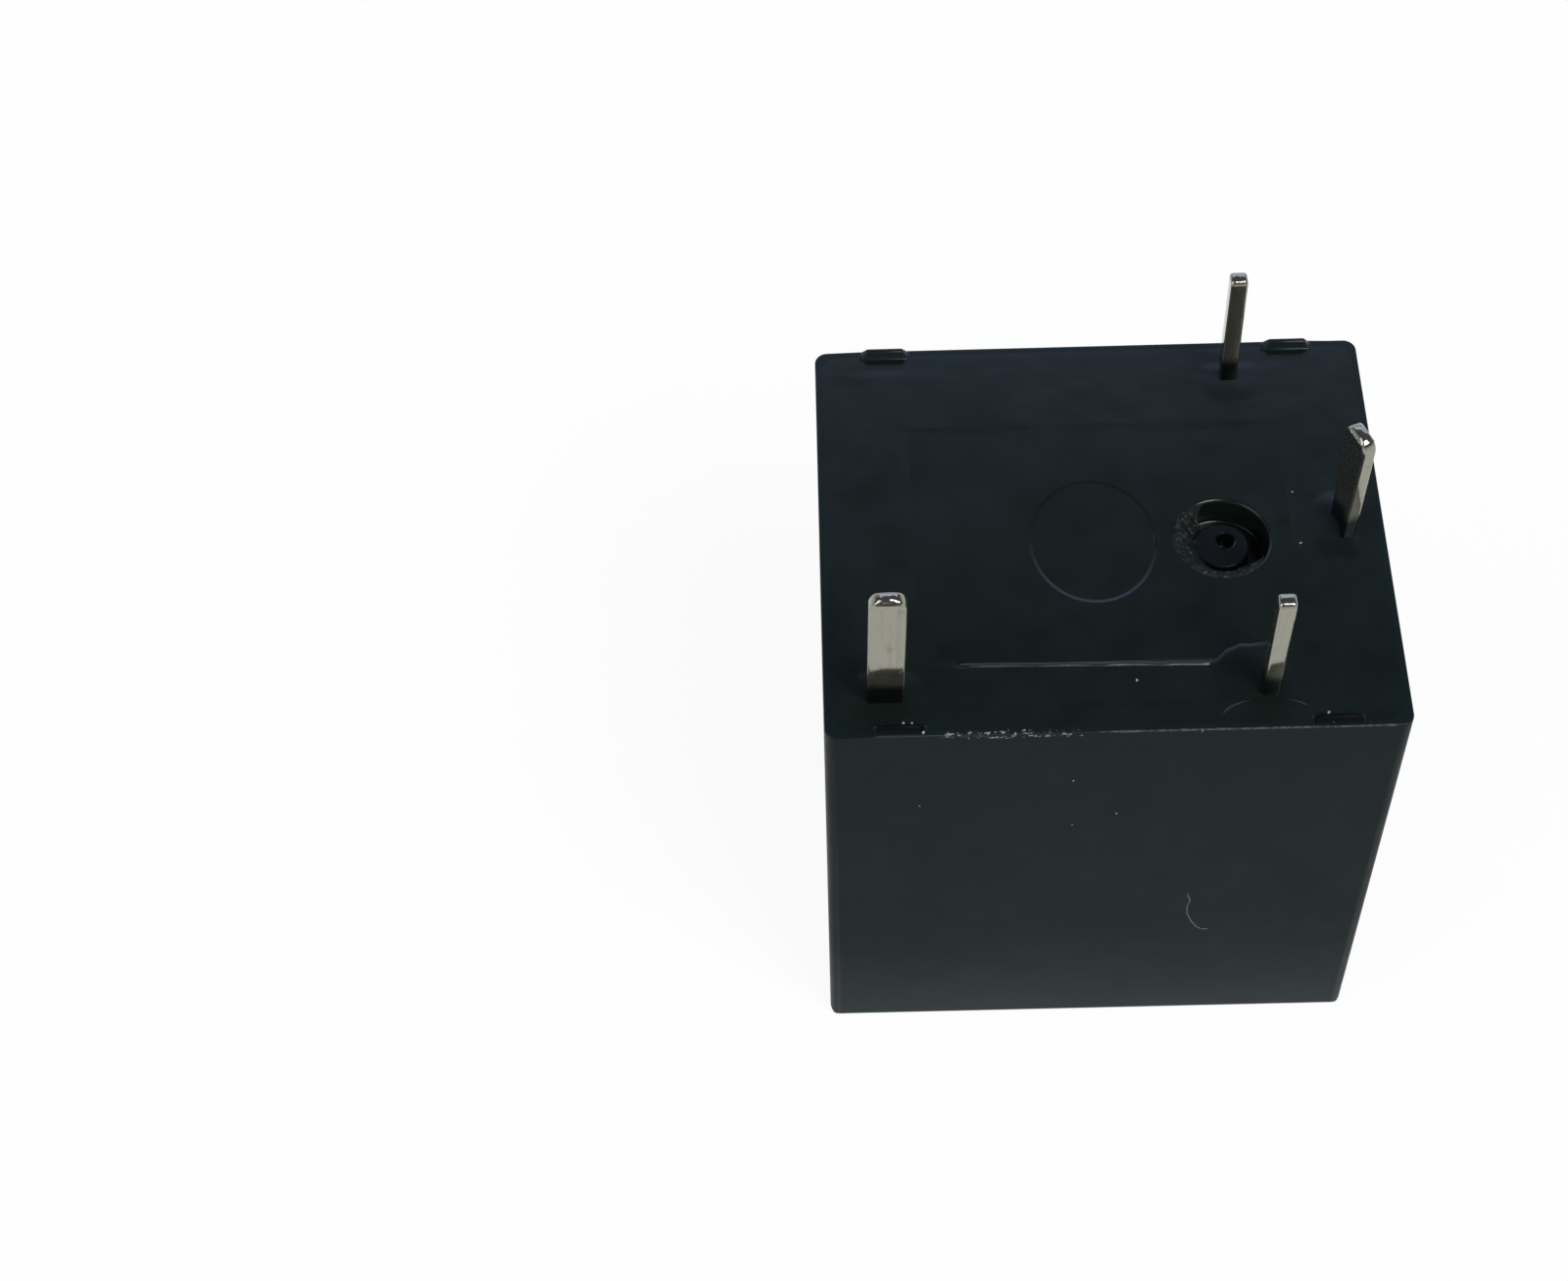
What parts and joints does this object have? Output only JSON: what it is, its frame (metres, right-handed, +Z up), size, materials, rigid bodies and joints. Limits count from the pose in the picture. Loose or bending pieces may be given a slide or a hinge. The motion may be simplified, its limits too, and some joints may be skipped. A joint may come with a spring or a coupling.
{
  "type": "pcb power relay",
  "caption": "Sealed black box relay for circuit boards: coil, hinged armature and one make contact, lying on its cover with the solder terminals up.",
  "frame": {"origin": "middle of the cover's closed face, on which the relay lies", "axes": "+Z up from the closed face towards the solder terminals, +X along the length from the contact end towards the yoke end, +Y across towards the rear row of terminals"},
  "size_m": [0.0154, 0.0132, 0.0202],
  "materials": {
    "cover_plastic": "satin moulded black",
    "base_plastic": "satin moulded black",
    "resin": "glossy cured black resin",
    "tinned_brass": "dull tin plate",
    "bobbin_plastic": "natural moulded",
    "copper_wire": "enamelled copper",
    "plated_iron": "satin nickel plate",
    "spring_bronze": "rolled bronze",
    "contact_silver": "silver alloy"
  },
  "bodies": {
    "housing": {"cover": "cover_plastic", "base": "base_plastic", "sealing_resin": "resin", "normally_open_terminal": "tinned_brass", "common_terminal": "tinned_brass", "coil_terminal_front": "tinned_brass", "coil_terminal_rear": "tinned_brass", "bobbin": "bobbin_plastic", "coil_winding": "copper_wire", "coil_lead_front": "copper_wire", "coil_lead_rear": "copper_wire", "core": "plated_iron", "yoke": "plated_iron", "fixed_contact": "contact_silver", "back_stop": "tinned_brass"},
    "clapper": {"armature": "plated_iron", "contact_spring": "spring_bronze", "moving_contact": "contact_silver"}
  },
  "joints": [
    {"name": "armature_hinge", "type": "hinge", "parent": "housing", "child": "clapper", "pos_m": [0.00642, 0, 0.0038], "axis": [0, 1, 0], "range_deg": [0, 3.4], "stiffness_Nm_per_rad": 0.012, "springref_deg": -6.88, "deforming": ["contact_spring"]}
  ]
}
